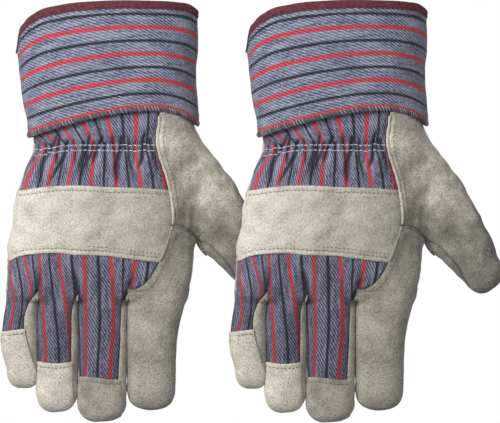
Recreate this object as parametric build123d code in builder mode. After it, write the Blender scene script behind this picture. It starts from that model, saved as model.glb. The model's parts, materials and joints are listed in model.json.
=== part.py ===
"""A pair of leather-palm work gloves with stiff safety cuffs, lying palm down, fingers towards -Y.

Each glove is built in its own frame: +X towards the thumb, +Y towards the cuff, +Z up from the
surface that the palm rests on. It is a set of thin nested shells, one for each cut piece of cloth or
leather. A shell is the space between two levels of one body form, where a level is the distance
outwards from the inside of the glove. Every finger stall and the thumb stall turns on a hinge line
at its root, on the palm side, where the leather creases as the finger bends.
"""

from build123d import *
from functools import cache
from math import cos, radians, sin
import os

# ---- Driving dimensions, in millimetres and degrees ----
LENGTH = 270.0  # fingertip to cuff edge
PALM_WIDTH = 118.0
GLOVE_PITCH = 146.5  # from one glove's middle to the next
SECOND_GLOVE_TILT = 5.4  # its little-finger side rests on the first glove's thumb

LINING = (0.0, 0.8)  # levels of the layers, from the hand outwards
SHELL = (0.9, 2.3)
OVERLAY = (2.4, 3.7)
WELT = (0.9, 3.4)

CROTCH_Y = -50.0  # where the finger stalls leave the hand
WRIST_END_Y = 68.0
HINGE_GAP = 0.3
LIFT_ANGLE = 6.0  # how far a finger can bend back before its root meets the hand

# Hand sections: y, middle x, width, height, depth of the rounded side
HAND = [
    (WRIST_END_Y, 8.7, 97.0, 41.0, 44.0),
    (41.0, 9.5, 99.0, 37.6, 42.0),
    (14.0, 4.0, 113.0, 35.6, 42.0),
    (-26.0, 0.5, 113.0, 26.2, 34.0),
    (CROTCH_Y, -2.0, 113.5, 20.5, 11.0),
]
SEAM_HEIGHT, SEAM_SLOPE = 12.7, 0.125  # the side seams' height at the crotch, and its rise along +Y

# Thumb: root middle, heading from -Y towards +X, and the part of its base that lies in the hand
THUMB_ROOT = (77.2, -5.5)
THUMB_HEADING = 33.0
THUMB_BASE = [(-62.0, 31.0, 26.0, 20.0), (-30.0, 38.4, 22.0, 14.6), (0.0, 35.8, 17.0, 10.9)]

# Stalls: root x, tip x, root and tip widths, root and tip heights, length from root to tip.
# seam is the share of the half height at which the back piece meets the front one.
# cap is the length of the leather fingertip cap, and None where leather runs the whole length.
STALLS = {
    "pinky": dict(root=-51.0, tip=-51.7, width=(15.2, 18.9), height=(15.6, 13.4), length=63.3, cap=37.5),
    "ring": dict(root=-27.4, tip=-26.6, width=(20.0, 19.6), height=(18.0, 15.6), length=78.2, cap=31.5),
    "middle": dict(root=1.9, tip=1.8, width=(26.2, 25.6), height=(19.0, 16.4), length=84.7, cap=27.5),
    "index": dict(root=38.0, tip=33.4, width=(33.5, 26.0), height=(19.4, 16.8), length=77.6, cap=None),
    "thumb": dict(root=0.0, tip=1.4, width=(35.4, 22.6), height=(17.0, 9.8), length=52.0, cap=None),
}
STALL_SEAM = 0.3
ROOT_OVERRUN = 4.0  # a stall's form starts this far inside the hand, and is then cut at its hinge

# Cuff: y, middle x, outer width, outer height; the wall's plies; the binding and the hem
CUFF = [(44.0, 8.7, 109.4, 54.6), (90.0, 7.4, 112.0, 55.0), (LENGTH / 2 + 4, 5.2, 116.4, 55.6)]
CUFF_MIDDLE_Z = 27.9
CUFF_ROUND = 0.42  # the rounded side's depth, as a share of the cuff's width
CANVAS_PLY = (0.9, 2.1)  # depths of the plies below the cuff's outer face
RUBBER_PLY = (2.2, 3.0)
BINDING_PLY = (0.0, 3.8)
HEM_PLY = (0.0, 3.0)
CUFF_TOP = [(-56.5, 101), (-51, 115), (-34, 126.3), (-3, 134.0), (30, 135.4), (56, 132.6), (65, 125)]
CUFF_BOTTOM = [(-58, 45.0), (-45.5, 48.6), (-25.8, 54.2), (0, 60.8), (28, 64.0), (50, 61.0), (70, 53)]
BINDING_WIDTH, HEM_WIDTH = 5.6, 4.0

# Seams on the back of the hand
SADDLE_SEAM = [(36.5, 80), (38.5, 52), (38.5, 38), (45, 12), (48.5, -9.5)]
PATCH_SEAM = [(48.5, -9.5), (44.5, -22), (37.5, -34), (28.5, -44.5), (18.0, -52)]
THUMB_CROTCH = (62.5, -16.4)
STRAP_TOP = [(-75, 6), (-55, 12.5), (-20, 16.5), (20, 15.5), (60, 10.5)]
STRAP_BOTTOM = [(-75, -33), (-58, -30), (-35, -26.5), (0, -27.5), (38, -32), (60, -37)]
WELT_WIDTH, SEAM_GAP = 2.0, 0.15
ELASTIC_Y, ELASTIC_WIDTH = 41.0, 8.0

FAR = 400.0
SEAM_PLANE = Plane(origin=(0, CROTCH_Y, SEAM_HEIGHT), x_dir=(1, 0, 0), z_dir=(0, -SEAM_SLOPE, 1))


# ---- Forms: closed solids whose difference is a shell ----
def flattened_tube(width, height, side):
    """Sketch of a tube's section: flat above and below, with half-ellipse sides."""
    with BuildSketch(mode=Mode.PRIVATE) as section:
        with BuildLine():
            reach, rise = width / 2 - side, height / 2
            Line((-reach, rise), (reach, rise))
            EllipticalCenterArc((reach, 0), side, rise, start_angle=90, arc_size=-180)
            Line((reach, -rise), (-reach, -rise))
            EllipticalCenterArc((-reach, 0), side, rise, start_angle=270, arc_size=-180)
        make_face()
    return section.sketch


def across_y(x, y, z):
    """Plane that looks towards the fingers, with its own Y pointing up."""
    return Plane(origin=(x, y, z), x_dir=(1, 0, 0), z_dir=(0, -1, 0))


def stall_plane(name, along, aside, up):
    """Plane across a stall, a distance along it from its root, facing its tip."""
    turn = radians(THUMB_HEADING if name == "thumb" else 0)
    root_x, root_y = THUMB_ROOT if name == "thumb" else (STALLS[name]["root"], CROTCH_Y)
    x = root_x + along * sin(turn) + aside * cos(turn)
    y = root_y - along * cos(turn) + aside * sin(turn)
    return Plane(origin=(x, y, up), x_dir=(cos(turn), sin(turn), 0), z_dir=(sin(turn), -cos(turn), 0))


def thumb_base_form(level):
    """The part of the thumb that lies inside the hand."""
    with BuildPart() as form:
        for along, width, height, middle in THUMB_BASE:
            with BuildSketch(stall_plane("thumb", along, 0, middle)):
                Ellipse(width / 2 + level, height / 2 + level)
        loft()
    return form.part


@cache
def hand_form(level):
    """Hand and thumb base, from under the cuff to the roots of the stalls."""
    with BuildPart() as form:
        for y, x, width, height, side in HAND:
            middle = SEAM_HEIGHT + (y - CROTCH_Y) * SEAM_SLOPE
            with BuildSketch(across_y(x, y, middle)):
                add(flattened_tube(width + 2 * level, height + 2 * level, side + level))
        loft()
        add(thumb_base_form(level))
    return form.part


def fingertip_form(name, level):
    """Rounded end of a stall, as half an ellipsoid that is as long as it is wide."""
    stall = STALLS[name]
    rise = stall["height"][1] / 2
    reach = stall["width"][1] / 2
    with BuildPart() as form:
        Sphere(1, arc_size1=0, align=(Align.CENTER, Align.CENTER, Align.MIN))
        scale(by=(reach + level, rise + level, reach + level))
    shoulder = stall_plane(name, shoulder_length(name), stall["tip"] - stall["root"], rise + SHELL[1])
    return form.part.moved(shoulder.location)


def shoulder_length(name):
    """Distance from a stall's root to where its tip starts to round."""
    return STALLS[name]["length"] - SHELL[1] - STALLS[name]["width"][1] / 2


def stall_form(name, level):
    """One stall, from just behind its root to its rounded tip, with its underside level."""
    stall = STALLS[name]
    lean = stall["tip"] - stall["root"]
    with BuildPart() as form:
        for along, share in ((-ROOT_OVERRUN, 0), (shoulder_length(name), 1)):
            width, height = stall["width"][share], stall["height"][share]
            with BuildSketch(stall_plane(name, along, lean * share, height / 2 + SHELL[1])):
                Ellipse(width / 2 + level, height / 2 + level)
        loft()
        add(fingertip_form(name, level))
    return form.part


@cache
def cuff_form(depth):
    """Solid inside the cuff, a depth below its outer face."""
    with BuildPart() as form:
        for y, x, width, height in CUFF:
            with BuildSketch(across_y(x, y, CUFF_MIDDLE_Z)):
                side = CUFF_ROUND * width - depth
                add(flattened_tube(width - 2 * depth, height - 2 * depth, side))
        loft()
    return form.part


# ---- Outlines seen from above, as tall prisms that cut the shells ----
def prism(near, far):
    """Prism between two open curves across the glove, each a list of points from -X to +X."""
    with BuildPart() as block:
        with BuildSketch(Plane.XY.offset(-FAR / 4)):
            with BuildLine():
                first = Spline(*near)
                second = Spline(*far)
                Line(first @ 0, second @ 0)
                Line(first @ 1, second @ 1)
            make_face()
        extrude(amount=FAR / 2)
    return block.part


def shifted(points, dx=0.0, dy=0.0):
    return [(x + dx, y + dy) for x, y in points]


def thumb_side(offset):
    """Everything on the thumb's side of the saddle seam, moved by offset along X."""
    seam = shifted(SADDLE_SEAM, dx=offset)
    (patch_x, patch_y), (crotch_x, crotch_y) = seam[-1], THUMB_CROTCH
    with BuildPart() as block:
        with BuildSketch(Plane.XY.offset(-FAR / 4)):
            with BuildLine():
                Spline(*seam)
                Polyline(
                    (patch_x, patch_y),
                    (crotch_x, crotch_y),
                    (crotch_x + FAR / 4, crotch_y),
                    (crotch_x + FAR / 4, seam[0][1]),
                    seam[0],
                )
            make_face()
        extrude(amount=FAR / 2)
    return block.part


def index_side(offset, drop=0.0):
    """Everything on the index finger's side of the patch seam, moved by offset along X and down."""
    seam = shifted(PATCH_SEAM, dx=offset, dy=-drop)
    crotch_x, crotch_y = THUMB_CROTCH
    with BuildPart() as block:
        with BuildSketch(Plane.XY.offset(-FAR / 4)):
            with BuildLine():
                Spline(*seam)
                Polyline(
                    seam[-1],
                    (seam[-1][0], CROTCH_Y - 10),
                    (crotch_x + 10, CROTCH_Y - 10),
                    (crotch_x + 10, crotch_y - drop),
                    (crotch_x, crotch_y - drop),
                    seam[0],
                )
            make_face()
        extrude(amount=FAR / 2)
    return block.part


# ---- The hand's pieces ----
@cache
def hand_shell(layer, keep):
    """Back (Keep.TOP) or palm (Keep.BOTTOM) half of one layer of the hand."""
    with BuildPart() as shell:
        add(hand_form(layer[1]))
        add(hand_form(layer[0]), mode=Mode.SUBTRACT)
        split(bisect_by=SEAM_PLANE, keep=keep)
    return shell.part


def back_panel():
    """Striped canvas over the back of the hand, from under the cuff to the finger crotches."""
    with BuildPart() as panel:
        add(hand_shell(SHELL, Keep.TOP))
        add(thumb_side(-WELT_WIDTH / 2 - SEAM_GAP), mode=Mode.SUBTRACT)
        add(index_side(-SEAM_GAP), mode=Mode.SUBTRACT)
    return largest(panel.part)


def index_patch():
    """Leather of the index finger where it runs up the back of the hand to the strap."""
    with BuildPart() as patch:
        add(hand_shell(SHELL, Keep.TOP))
        add(index_side(SEAM_GAP, drop=SEAM_GAP), mode=Mode.INTERSECT)
    return largest(patch.part)


def thumb_saddle():
    """Leather over the thumb's base and the side of the wrist."""
    with BuildPart() as saddle:
        add(hand_shell(SHELL, Keep.TOP))
        add(thumb_side(WELT_WIDTH / 2 + SEAM_GAP), mode=Mode.INTERSECT)
    return largest(saddle.part)


def side_welt():
    """Folded leather strip that stands up in the seam between the canvas back and the saddle."""
    with BuildPart() as welt:
        add(hand_shell(WELT, Keep.TOP))
        add(thumb_side(-WELT_WIDTH / 2), mode=Mode.INTERSECT)
        add(thumb_side(WELT_WIDTH / 2), mode=Mode.SUBTRACT)
        split(bisect_by=Plane.XZ.offset(THUMB_CROTCH[1] * -0.5), keep=Keep.BOTTOM)
        split(bisect_by=Plane.XZ.offset(-50.0), keep=Keep.TOP)
    return largest(welt.part)


def palm():
    """Leather palm, from the wrist to the finger crotches, with the underside of the thumb's base."""
    with BuildPart() as piece:
        add(hand_shell(SHELL, Keep.BOTTOM))
    return piece.part


def palm_lining():
    """Soft cloth lining inside the palm."""
    with BuildPart() as lining:
        add(hand_shell(LINING, Keep.BOTTOM))
    return lining.part


def wrist_elastic():
    """Flat elastic sewn inside the canvas back, which gathers it at the wrist."""
    with BuildPart() as elastic:
        add(hand_shell(LINING, Keep.TOP))
        add(thumb_side(0), mode=Mode.SUBTRACT)
        split(bisect_by=Plane.XZ.offset(-ELASTIC_Y - ELASTIC_WIDTH / 2), keep=Keep.TOP)
        split(bisect_by=Plane.XZ.offset(-ELASTIC_Y + ELASTIC_WIDTH / 2), keep=Keep.BOTTOM)
    return largest(elastic.part)


def knuckle_strap():
    """Leather strap sewn over the canvas across the knuckles."""
    with BuildPart() as strap:
        add(hand_shell(OVERLAY, Keep.TOP))
        add(prism(STRAP_BOTTOM, STRAP_TOP), mode=Mode.INTERSECT)
        add(thumb_side(-WELT_WIDTH / 2 - SEAM_GAP), mode=Mode.SUBTRACT)
        add(index_side(-SEAM_GAP), mode=Mode.SUBTRACT)
    return largest(strap.part)


# ---- The cuff's pieces ----
def cuff_wall(ply, near, far):
    """Tube between two depths of the cuff, cut to the outline between two edge curves."""
    with BuildPart() as wall:
        add(cuff_form(ply[0]))
        add(cuff_form(ply[1]), mode=Mode.SUBTRACT)
        add(prism(near, far), mode=Mode.INTERSECT)
    return wall.part


def safety_cuff():
    """Striped canvas outside of the cuff, between the hem and the binding."""
    return cuff_wall(CANVAS_PLY, shifted(CUFF_BOTTOM, dy=HEM_WIDTH), shifted(CUFF_TOP, dy=-BINDING_WIDTH))


def cuff_lining():
    """Rubberised inner ply that keeps the cuff stiff."""
    return cuff_wall(RUBBER_PLY, shifted(CUFF_BOTTOM, dy=HEM_WIDTH), shifted(CUFF_TOP, dy=-BINDING_WIDTH))


def cuff_binding():
    """Tape folded over the cuff's free edge."""
    return cuff_wall(BINDING_PLY, shifted(CUFF_TOP, dy=-BINDING_WIDTH + SEAM_GAP), CUFF_TOP)


def cuff_hem():
    """Rolled and oversewn lower edge, which joins the cuff to the wrist."""
    return cuff_wall(HEM_PLY, CUFF_BOTTOM, shifted(CUFF_BOTTOM, dy=HEM_WIDTH - SEAM_GAP))


# ---- The stalls' pieces ----
def stall_root_plane(name):
    """Root face of a stall. It leans back from the hinge line, so the finger can lift."""
    root = stall_plane(name, HINGE_GAP, 0, 0)
    return root.rotated((LIFT_ANGLE, 0, 0))


def stall_shell(name, keep):
    """Back (Keep.TOP) or front (Keep.BOTTOM) of one stall, cut square at its hinge."""
    stall = STALLS[name]
    seam_up = SHELL[1] + stall["height"][0] / 2 * (1 + STALL_SEAM)
    seam_fall = (stall["height"][1] - stall["height"][0]) / 2 * (1 + STALL_SEAM) / stall["length"]
    root = stall_plane(name, 0, 0, seam_up)
    seam = Plane(origin=root.origin, x_dir=root.x_dir, z_dir=Vector(0, 0, 1) - root.z_dir * seam_fall)
    with BuildPart() as shell:
        add(stall_form(name, SHELL[1]))
        add(stall_form(name, SHELL[0]), mode=Mode.SUBTRACT)
        split(bisect_by=stall_root_plane(name), keep=Keep.TOP)
        split(bisect_by=seam, keep=keep)
    return shell.part


def stall_back(name):
    """Back of a stall: canvas up to the cap, or leather to the tip where there is no cap."""
    stall = STALLS[name]
    with BuildPart() as back:
        add(stall_shell(name, Keep.TOP))
        if stall["cap"]:
            cap_edge = stall_plane(name, stall["length"] - stall["cap"] - SEAM_GAP, 0, 0)
            split(bisect_by=cap_edge, keep=Keep.BOTTOM)
    return back.part


def stall_cap(name):
    """Leather cap on the back of a fingertip."""
    stall = STALLS[name]
    with BuildPart() as cap:
        add(stall_shell(name, Keep.TOP))
        split(bisect_by=stall_plane(name, stall["length"] - stall["cap"], 0, 0), keep=Keep.TOP)
    return cap.part


def stall_front(name):
    """Leather front of a stall, with its two side walls."""
    with BuildPart() as front:
        add(stall_shell(name, Keep.BOTTOM))
    return front.part


# ---- One glove, and the pair ----
def largest(part):
    """The biggest solid of a cut, without the crumbs that a curved seam can leave."""
    return Part(part.solids().sort_by(SortBy.VOLUME)[-1:])


def glove_pieces():
    """Every piece of one glove, by name."""
    pieces = {
        "safety_cuff": safety_cuff(),
        "cuff_lining": cuff_lining(),
        "cuff_binding": cuff_binding(),
        "cuff_hem": cuff_hem(),
        "back_panel": back_panel(),
        "wrist_elastic": wrist_elastic(),
        "knuckle_strap": knuckle_strap(),
        "index_patch": index_patch(),
        "thumb_saddle": thumb_saddle(),
        "side_welt": side_welt(),
        "palm": palm(),
        "palm_lining": palm_lining(),
    }
    for name, stall in STALLS.items():
        pieces[f"{name}_back"] = stall_back(name)
        pieces[f"{name}_front"] = stall_front(name)
        if stall["cap"]:
            pieces[f"{name}_cap"] = stall_cap(name)
    return pieces


def lowest(parts):
    return min(part.bounding_box().min.Z for part in parts)


glove = glove_pieces()
leaning = [part.moved(Rotation(0, SECOND_GLOVE_TILT, 0)) for part in glove.values()]
places = {
    "glove1": Location((-GLOVE_PITCH / 2, 0, -lowest(glove.values()))),
    "glove2": Location((GLOVE_PITCH / 2, 0, -lowest(leaning)), (0, SECOND_GLOVE_TILT, 0)),
}
pair = {f"{which}_{name}": part.moved(place) for which, place in places.items() for name, part in glove.items()}
whole = Compound(list(pair.values())).bounding_box()
centring = Location((-whole.center().X, -whole.center().Y, 0))

os.makedirs("parts", exist_ok=True)
for name, part in pair.items():
    placed = part.moved(centring)
    placed.label = name
    export_step(placed, f"parts/{name}.step")
print("size", whole.size)
for which, place in places.items():
    print(which, "origin", (centring * place).position, "turned about Y by", place.orientation.Y)
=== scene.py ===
"""Two leather-palm work gloves with striped canvas backs, lying palm down on a pale floor.

Each glove is made once, in millimetres, in its own frame: +X towards the thumb, +Y towards the cuff
and +Z up. A smooth form is meshed from a distance field, cut along the seams into the glove's sewn
pieces, and given thickness, gathers, folds and stitches. Both gloves are copies of those pieces, put
where the CAD joints say.
"""

import json
import math

import bpy
import numpy as np
from mathutils import Matrix, Vector
from mathutils.bvhtree import BVHTree


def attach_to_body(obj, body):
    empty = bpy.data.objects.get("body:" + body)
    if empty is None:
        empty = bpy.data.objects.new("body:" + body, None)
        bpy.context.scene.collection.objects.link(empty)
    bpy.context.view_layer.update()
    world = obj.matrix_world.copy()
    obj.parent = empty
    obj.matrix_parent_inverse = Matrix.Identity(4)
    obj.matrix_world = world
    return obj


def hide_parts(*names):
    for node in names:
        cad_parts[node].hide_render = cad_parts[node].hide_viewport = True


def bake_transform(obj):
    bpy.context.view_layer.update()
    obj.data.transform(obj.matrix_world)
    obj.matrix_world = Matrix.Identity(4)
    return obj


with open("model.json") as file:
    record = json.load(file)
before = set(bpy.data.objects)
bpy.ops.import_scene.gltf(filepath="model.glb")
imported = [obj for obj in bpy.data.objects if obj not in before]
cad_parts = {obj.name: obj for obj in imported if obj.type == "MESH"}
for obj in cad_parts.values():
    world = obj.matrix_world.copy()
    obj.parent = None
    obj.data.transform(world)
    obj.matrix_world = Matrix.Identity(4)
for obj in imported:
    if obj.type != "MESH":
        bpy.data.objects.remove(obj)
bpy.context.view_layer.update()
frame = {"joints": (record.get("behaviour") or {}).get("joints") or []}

MM = 0.001
GLOVES = ("glove1", "glove2")
rng = np.random.default_rng(11)


def table(*rows):
    return np.array(rows, float)


# ---- The glove's form, in millimetres. Sizes are of its outer face. ----
CROTCH_Y = -50.3
SEAM_HEIGHT, SEAM_SLOPE = 12.7, 0.125
HAND = table(  # y, middle x, half width, half height, depth of the rounded side
    (-60, -2.6, 57.6, 10.6, 12.0),
    (-54, -2.2, 58.6, 11.8, 12.6),
    (-50, -2.0, 59.0, 12.6, 13.3),
    (-38, -0.6, 59.2, 14.2, 26.0),
    (-26, 0.5, 59.2, 15.8, 36.0),
    (-6, 2.8, 58.6, 18.6, 42.0),
    (14, 4.6, 57.4, 20.0, 44.3),
    (27, 6.0, 54.6, 20.6, 44.0),
    (41, 9.3, 52.2, 20.8, 44.0),
    (55, 8.6, 51.6, 21.8, 44.0),
    (62, 8.2, 52.0, 23.8, 40.0),
    (70, 7.4, 53.4, 26.2, 34.0),
)
THUMB_TURN = math.radians(33)
# For each stall: distance along it, shift aside, half width, half height, height of its middle
STALLS = {
    "pinky": dict(root=(-51.0, -50.0), rows=[(0, 0.2, 10.0, 10.1, 10.2), (10, 0.3, 11.0, 10.0, 10.1),
                  (18, -0.9, 11.1, 9.9, 10.0), (27, -1.1, 11.9, 9.8, 9.9), (40, -0.4, 11.5, 9.3, 9.4),
                  (51.5, 1.3, 10.2, 9.0, 9.1)], reach=12.0),
    "ring": dict(root=(-27.4, -50.0), rows=[(0, -0.5, 13.3, 11.3, 11.4), (22, -0.1, 13.8, 11.1, 11.2),
                 (36, 0.2, 13.7, 10.9, 11.0), (63, 0.3, 13.6, 10.1, 10.2)], reach=15.5),
    "middle": dict(root=(1.9, -50.0), rows=[(0, -0.7, 16.1, 11.8, 11.9), (36, -0.9, 16.4, 11.2, 11.3),
                   (72.5, -0.8, 16.0, 10.5, 10.6)], reach=12.4),
    "index": dict(root=(38.0, -50.0), rows=[(0, -0.5, 19.2, 12.0, 12.1), (12, -2.5, 18.1, 12.0, 12.1),
                  (24, -4.2, 16.9, 11.8, 11.9), (36, -4.9, 16.2, 11.4, 11.5), (64.5, -5.6, 15.5, 10.7, 10.8)],
                  reach=13.4),
    "thumb": dict(root=(77.2, -5.5), rows=[(-62, 0.0, 18.0, 15.3, 20.0), (-45, -0.4, 19.2, 14.2, 17.4),
                  (-30, -0.6, 20.6, 13.3, 15.0), (-15, -0.4, 21.0, 12.2, 12.8), (0, -0.4, 20.0, 10.8, 11.0),
                  (20, 0.3, 17.6, 9.3, 9.5), (40, 1.0, 14.2, 7.4, 7.6)], reach=13.4),
}
TIP_POWER = 2.5  # roundness of a fingertip: 2 is an ellipse
ROOT_OVERLAP = 10  # how far a stall runs back into the hand
LEAN_HEIGHT = 11.0  # a glove that lies on a slope is upright above this height
PLY = 1.3  # thickness of leather and canvas
PINKY_TO_INDEX = ("pinky", "ring", "middle", "index")
WEBS = (-39.8, -14.0, 17.9)  # x of the finger crotches
WEB_DEPTH = 8.0  # how far the cloth between the fingers hangs past the crotch line
CROTCH_FOLDS = ((WEBS[0], -0.12, 2.2, 16), (WEBS[1], 0.16, 2.4, 20), (WEBS[2] + 0.5, -0.3, 2.6, 14),
                (-26, 0.05, 0.9, 18), (-31, -0.1, 0.8, 12), (4, 0.1, 0.9, 20), (9, -0.08, 0.8, 12),
                (-5, 0.06, 0.7, 14), (-47, 0.1, 0.9, 14))  # x, lean, depth, reach up the hand

# Seams seen from above, measured in the glove's own frame
SADDLE_SEAM = table((-9, 47.0), (-2, 47.2), (7, 46.4), (16, 45.0), (27, 42.0), (37, 38.8), (46, 37.3),
                    (56, 38.4), (72, 39.6))  # y, x
PATCH_SEAM = table((-53, 17.0), (-51, 20.4), (-48, 26.5), (-44, 31.2), (-38.6, 35.0), (-32.4, 38.2),
                   (-26.5, 41.0), (-18, 44.2), (-9, 46.8))  # y, x
THUMB_SEAM = table((40, -6.5), (46.5, -8.6), (52, -9.6), (58, -13), (61.5, -17), (66, -30), (74, -75),
                   (120, -330))  # x, y
STRAP_TOP = table((-62, 12.0), (-54, 13.4), (-35, 16.2), (-16, 17.2), (6, 16.0), (30, 15.3), (48, 14.2))
STRAP_BOTTOM = table((-66, -33), (-59, -32.0), (-51, -28.4), (-39, -26.8), (-13, -27.2), (8, -28.8),
                     (21, -30.3), (38, -32.4), (50, -33.6))
# The right-hand seam of each canvas back, as distance along the stall and x from its root
BACK_SEAMS = {
    "pinky": table((0, 12.0), (4, 9.6), (8, 6.4), (13, 3.8), (27, 2.4), (39, 4.9), (50, 8.2), (60, 11.0),
                   (70, 13.0)),
    "ring": table((0, 15.0), (4, 13.2), (9, 11.2), (30, 10.0), (60, 9.6), (70, 9.8), (80, 10.5)),
    "middle": table((0, 18.0), (4, 16.0), (9, 13.8), (34, 11.6), (60, 10.6), (75, 11.4), (90, 12.0)),
}
BACK_LEFT = {"pinky": 9.0, "ring": 11.0, "middle": 13.0}
CAP_START = {"pinky": 26.2, "ring": 46.6, "middle": 57.0}
# Red stripes of the canvas: y, then the x of each stripe across the back
STRIPE_ROWS = table(
    (-110, -61.0, -48.5, -34.9, -17.6, -10.2, 6.2, 22.0),
    (-94, -60.0, -48.0, -35.2, -18.0, -10.0, 7.2, 22.6),
    (-77, -58.4, -47.0, -36.2, -19.0, -9.7, 8.7, 22.6),
    (-62, -56.0, -45.0, -37.4, -21.4, -9.5, 8.9, 21.4),
    (-50, -56.6, -44.2, -38.0, -23.4, -9.5, 8.7, 20.4),
    (-38, -58.4, -46.6, -38.6, -25.4, -9.5, 7.9, 22.0),
    (-28, -59.4, -48.6, -38.9, -26.4, -9.5, 7.5, 23.6),
    (-8, -54.0, -41.0, -30.0, -16.0, 0.0, 16.0, 33.0),
    (14, -48.4, -33.8, -20.6, -5.6, 11.2, 26.8, 42.4),
    (21, -47.1, -32.3, -19.4, -5.2, 11.0, 26.4, 41.9),
    (33, -40.2, -28.6, -17.0, -3.8, 10.3, 24.4, 39.4),
    (41, -35.8, -26.4, -15.4, -3.0, 9.8, 23.2, 37.3),
    (50, -43.0, -32.5, -20.0, -6.4, 8.0, 23.8, 38.2),
    (62, -52.0, -41.0, -28.5, -12.5, 4.8, 24.3, 39.4),
)
STRIPE_PITCH = 17.0  # between red stripes on the flat cloth
TWILL_PITCH = 1.36
RED_HALF, BLACK_HALF = 1.36, 0.92  # half widths of the stripes
ELASTIC_Y, ELASTIC_HALF = 41.2, 4.0
WRIST_END = 66.0  # the hand ends inside the cuff
STRAP_ROW, PATCH_ROW, SADDLE_ROW, CAP_ROW = 3.1, 3.8, 3.6, 3.0  # stitch rows, in from each edge
FLOOR_CLEARANCE = 0.15

# Cuff: y, middle x, half width, half height
CUFF = table((44, 8.3, 55.2, 27.2), (60, 7.7, 55.9, 27.4), (72, 7.0, 56.6, 27.4), (87, 6.0, 57.5, 27.5),
             (95, 5.4, 58.1, 27.5), (103, 4.9, 58.7, 27.6), (120, 4.8, 58.8, 27.7), (139, 4.8, 58.8, 27.8))
CUFF_MIDDLE_Z = 27.9
CUFF_TOP = table((-54.5, 101), (-53.4, 106), (-52.2, 114), (-48.3, 121.6), (-40.6, 128), (-24.5, 132.6),
                 (0, 135.0), (32, 135.3), (50, 134.6), (58, 133.4), (63.4, 130.2))
CUFF_UNDER = table((-54.5, 101), (-48, 110), (-36, 119), (-20, 126), (0, 131), (32, 134), (63.4, 130.2))
CUFF_BOTTOM = table((-52, 46.0), (-45.5, 48.0), (-25.8, 54.0), (0, 60.4), (24, 64.0), (44, 63.6), (56, 59.8),
                    (63.4, 55.0))
CUFF_CLOTH = 71.2  # cloth width from the hem to the free edge
CUFF_RADIUS = 47.5  # turns an angle round the cuff into cloth length
BINDING, HEM = 5.4, 3.6  # widths
HEM_DEPTH = 1.55  # middle of the rolled hem, below the cuff's outermost face
BINDING_FOLD = (  # the folded tape's section: distance back from the free edge, and depth
    (BINDING, 0.42), (BINDING - 0.25, 0.24), (BINDING - 0.8, 0.12), (4.0, 0.26), (3.0, 0.14), (2.0, 0.1),
    (1.1, 0.24), (0.45, 0.6), (0.1, 1.2), (0.0, 1.9), (0.1, 2.6), (0.45, 3.2), (1.1, 3.6), (3.0, 3.75),
    (BINDING - 0.5, 3.7), (BINDING, 3.3), (BINDING, 2.95), (2.5, 2.9), (1.6, 1.9), (2.5, 0.6),
    (BINDING, 0.57))
CANVAS_FACE = 0.55  # depth of the canvas face under the cuff's outermost face


# ---- Numeric helpers ----
def hermite(x, table):
    """Smooth interpolation of a table's columns by its first one."""
    xs, ys = table[:, 0], table[:, 1:]
    slope = np.gradient(ys, xs, axis=0)
    i = np.clip(np.searchsorted(xs, x) - 1, 0, len(xs) - 2)
    h = (xs[i + 1] - xs[i])[:, None]
    t = np.clip((x - xs[i])[:, None] / h, 0, 1)
    a, b, ma, mb = ys[i], ys[i + 1], slope[i] * h, slope[i + 1] * h
    start = (2 * t**3 - 3 * t**2 + 1) * a + (t**3 - 2 * t**2 + t) * ma
    return start + (3 * t**2 - 2 * t**3) * b + (t**3 - t**2) * mb


def smoothstep(x, low, high):
    t = np.clip((x - low) / (high - low), 0, 1)
    return t * t * (3 - 2 * t)


def bell(x, width):
    return np.exp(-((x / width) ** 2))


def smooth_min(a, b, k):
    h = np.clip(0.5 + 0.5 * (b - a) / k, 0, 1)
    return b * (1 - h) + a * h - k * h * (1 - h)


def smooth_max(a, b, k):
    return -smooth_min(-a, -b, k)


def waves(p, wavelength, count, seed):
    """Smooth random field of about unit size, made of plane waves in random directions."""
    r = np.random.default_rng(seed)
    direction = r.normal(size=(count, 3))
    direction /= np.linalg.norm(direction, axis=1)[:, None]
    k = direction * (2 * math.pi / (wavelength * r.uniform(0.7, 1.5, count)))[:, None]
    return np.sin(p @ k.T + r.uniform(0, 2 * math.pi, count)).sum(axis=1) * math.sqrt(2.0 / count)


def unit(v):
    return v / np.maximum(np.linalg.norm(v, axis=1), 1e-9)[:, None]


# ---- Distance field ----
def along_aside(p, name):
    """Distance along a stall from its root, and distance aside of its root's middle."""
    (x, y), turn = STALLS[name]["root"], THUMB_TURN if name == "thumb" else 0.0
    s, c = math.sin(turn), math.cos(turn)
    dx, dy = p[:, 0] - x, p[:, 1] - y
    return dx * s - dy * c, dx * c + dy * s


def ellipse_distance(q, r, a, b):
    k = np.sqrt((q / a) ** 2 + (r / b) ** 2)
    g = np.sqrt((q / a**2) ** 2 + (r / b**2) ** 2)
    return k * (k - 1) / np.maximum(g, 1e-6)


def stall_section(along, name):
    """Shift aside, half width, half height and height of the middle at a distance along a stall."""
    return hermite(along, np.array(STALLS[name]["rows"], float)).T


def stall_field(p, name):
    rows, reach = STALLS[name]["rows"], STALLS[name]["reach"]
    along, aside = along_aside(p, name)
    shift, wide, high, middle = stall_section(along, name)
    past = np.maximum(along - rows[-1][0], 0) + np.maximum(rows[0][0] - ROOT_OVERLAP - along, 0)
    across = np.abs(aside - shift) / wide
    round_off = (across**TIP_POWER + (past / reach) ** TIP_POWER) ** (1 / TIP_POWER)
    return ellipse_distance(round_off * wide, p[:, 2] - middle, wide, high)


def seam_plane(y):
    return SEAM_HEIGHT + (y + 50) * SEAM_SLOPE


def hand_tube(p):
    middle, wide, high, side = hermite(p[:, 1], HAND).T
    q = np.maximum(np.abs(p[:, 0] - middle) - (wide - side), 0)
    return ellipse_distance(q, p[:, 2] - seam_plane(p[:, 1]), side, high)


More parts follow.
